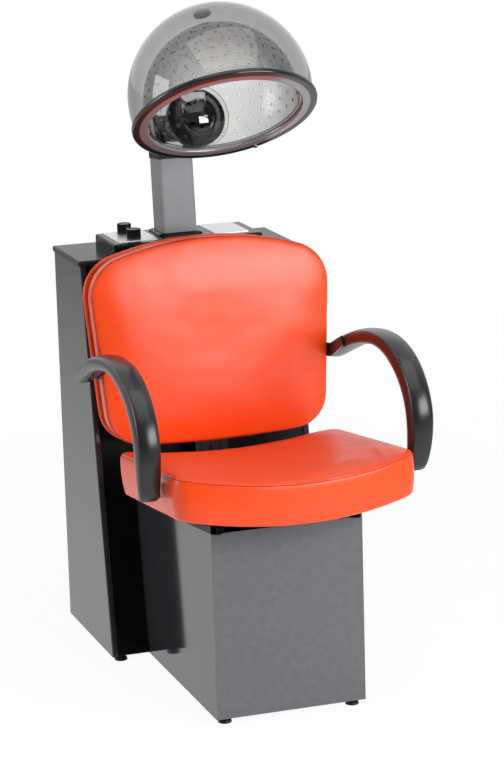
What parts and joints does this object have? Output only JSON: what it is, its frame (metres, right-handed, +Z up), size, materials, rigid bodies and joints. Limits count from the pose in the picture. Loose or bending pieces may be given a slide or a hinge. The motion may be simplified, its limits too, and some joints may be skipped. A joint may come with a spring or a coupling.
{
  "type": "hooded dryer chair",
  "caption": "Salon dryer chair: a tilting clear hood on a sliding post over an upholstered seat with curved arms, fixed to a tapered steel cabinet",
  "frame": {"origin": "on the floor, at the middle of the whole chair's width and depth", "axes": "+Z up, +Y towards the back of the cabinet, +X towards the right seen from the front"},
  "size_m": [0.6502, 0.9748, 1.4719],
  "materials": {
    "grey_powder_coat": "satin",
    "black_powder_coat": "satin",
    "zinc_steel": "dull",
    "bright_steel": "satin",
    "brushed_plate": "brushed",
    "aluminium_duct": "dull",
    "black_plastic": "satin",
    "inner_plastic": "matte",
    "gloss_black_plastic": "gloss",
    "smoked_plastic": "gloss",
    "clear_plastic": "gloss",
    "orange_vinyl": "satin",
    "black_board": "matte",
    "black_urethane": "satin",
    "black_rubber": "matte"
  },
  "bodies": {
    "chair": {"cabinet_left_panel": "grey_powder_coat", "cabinet_right_panel": "grey_powder_coat", "cabinet_front_panel": "black_powder_coat", "cabinet_back_panel": "black_powder_coat", "cabinet_floor_plate": "black_powder_coat", "cabinet_cap": "black_powder_coat", "control_housing": "black_plastic", "control_plate": "brushed_plate", "label_plate": "brushed_plate", "post_collar": "black_plastic", "post_guide": "zinc_steel", "timer_switch": "inner_plastic", "heat_switch": "inner_plastic", "blower_shelf": "zinc_steel", "blower_housing": "zinc_steel", "blower_motor": "black_powder_coat", "heater_box": "zinc_steel", "heater_rods": "bright_steel", "air_duct": "aluminium_duct", "power_inlet": "black_plastic", "pedestal_front_panel": "grey_powder_coat", "pedestal_left_panel": "grey_powder_coat", "pedestal_right_panel": "grey_powder_coat", "pedestal_floor_plate": "black_powder_coat", "foot_nuts": "zinc_steel", "seat_rails": "black_powder_coat", "seat_board": "black_board", "seat_cushion": "orange_vinyl", "seat_bolts": "bright_steel", "back_bracket": "black_powder_coat", "back_cushion": "orange_vinyl", "back_board": "black_board", "back_shell": "orange_vinyl", "left_arm": "black_urethane", "right_arm": "black_urethane", "arm_front_brackets": "black_powder_coat", "arm_rear_brackets": "bright_steel"},
    "post": {"hood_post": "grey_powder_coat", "post_head": "black_powder_coat", "hinge_pin": "bright_steel"},
    "hood": {"hood_neck": "black_plastic", "port_flange": "clear_plastic", "air_diffuser": "gloss_black_plastic", "hood_dome": "smoked_plastic", "inner_bowl": "clear_plastic", "hood_ring": "gloss_black_plastic", "ring_clips": "bright_steel", "top_grommet": "black_rubber"},
    "timer_knob": {"timer_knob": "black_plastic"},
    "heat_knob": {"heat_knob": "black_plastic"},
    "blower_wheel": {"blower_wheel": "zinc_steel"},
    "cabinet_foot_left_front": {"cabinet_foot_left_front": "black_rubber"},
    "cabinet_foot_left_rear": {"cabinet_foot_left_rear": "black_rubber"},
    "cabinet_foot_right_front": {"cabinet_foot_right_front": "black_rubber"},
    "cabinet_foot_right_rear": {"cabinet_foot_right_rear": "black_rubber"},
    "pedestal_foot_left_front": {"pedestal_foot_left_front": "black_rubber"},
    "pedestal_foot_left_rear": {"pedestal_foot_left_rear": "black_rubber"},
    "pedestal_foot_right_front": {"pedestal_foot_right_front": "black_rubber"},
    "pedestal_foot_right_rear": {"pedestal_foot_right_rear": "black_rubber"}
  },
  "joints": [
    {"name": "post_slide", "type": "slide", "parent": "chair", "child": "post", "axis": [0, 0.0872, 0.9962], "range_m": [0, 0.12]},
    {"name": "hood_tilt", "type": "hinge", "parent": "post", "child": "hood", "pos_m": [0, 0.38495, 1.15162], "axis": [-1, 0, 0], "range_deg": [-20, 45]},
    {"name": "timer_turn", "type": "hinge", "parent": "chair", "child": "timer_knob", "pos_m": [-0.111, 0.3994, 0.93], "axis": [0, 0, -1], "range_deg": [0, 300]},
    {"name": "heat_turn", "type": "hinge", "parent": "chair", "child": "heat_knob", "pos_m": [-0.111, 0.3234, 0.93], "axis": [0, 0, -1], "range_deg": [0, 180]},
    {"name": "wheel_spin", "type": "hinge", "parent": "chair", "child": "blower_wheel", "pos_m": [0, 0.3374, 0.4605], "axis": [1, 0, 0], "continuous": true},
    {"name": "cabinet_foot_left_front_screw", "type": "slide", "parent": "chair", "child": "cabinet_foot_left_front", "axis": [0, 0, -1], "range_m": [0, 0.015]},
    {"name": "pedestal_foot_left_front_screw", "type": "slide", "parent": "chair", "child": "pedestal_foot_left_front", "axis": [0, 0, -1], "range_m": [0, 0.015]},
    {"name": "cabinet_foot_left_rear_screw", "type": "slide", "parent": "chair", "child": "cabinet_foot_left_rear", "axis": [0, 0, -1], "range_m": [0, 0.015]},
    {"name": "pedestal_foot_left_rear_screw", "type": "slide", "parent": "chair", "child": "pedestal_foot_left_rear", "axis": [0, 0, -1], "range_m": [0, 0.015]},
    {"name": "cabinet_foot_right_front_screw", "type": "slide", "parent": "chair", "child": "cabinet_foot_right_front", "axis": [0, 0, -1], "range_m": [0, 0.015]},
    {"name": "pedestal_foot_right_front_screw", "type": "slide", "parent": "chair", "child": "pedestal_foot_right_front", "axis": [0, 0, -1], "range_m": [0, 0.015]},
    {"name": "cabinet_foot_right_rear_screw", "type": "slide", "parent": "chair", "child": "cabinet_foot_right_rear", "axis": [0, 0, -1], "range_m": [0, 0.015]},
    {"name": "pedestal_foot_right_rear_screw", "type": "slide", "parent": "chair", "child": "pedestal_foot_right_rear", "axis": [0, 0, -1], "range_m": [0, 0.015]}
  ]
}
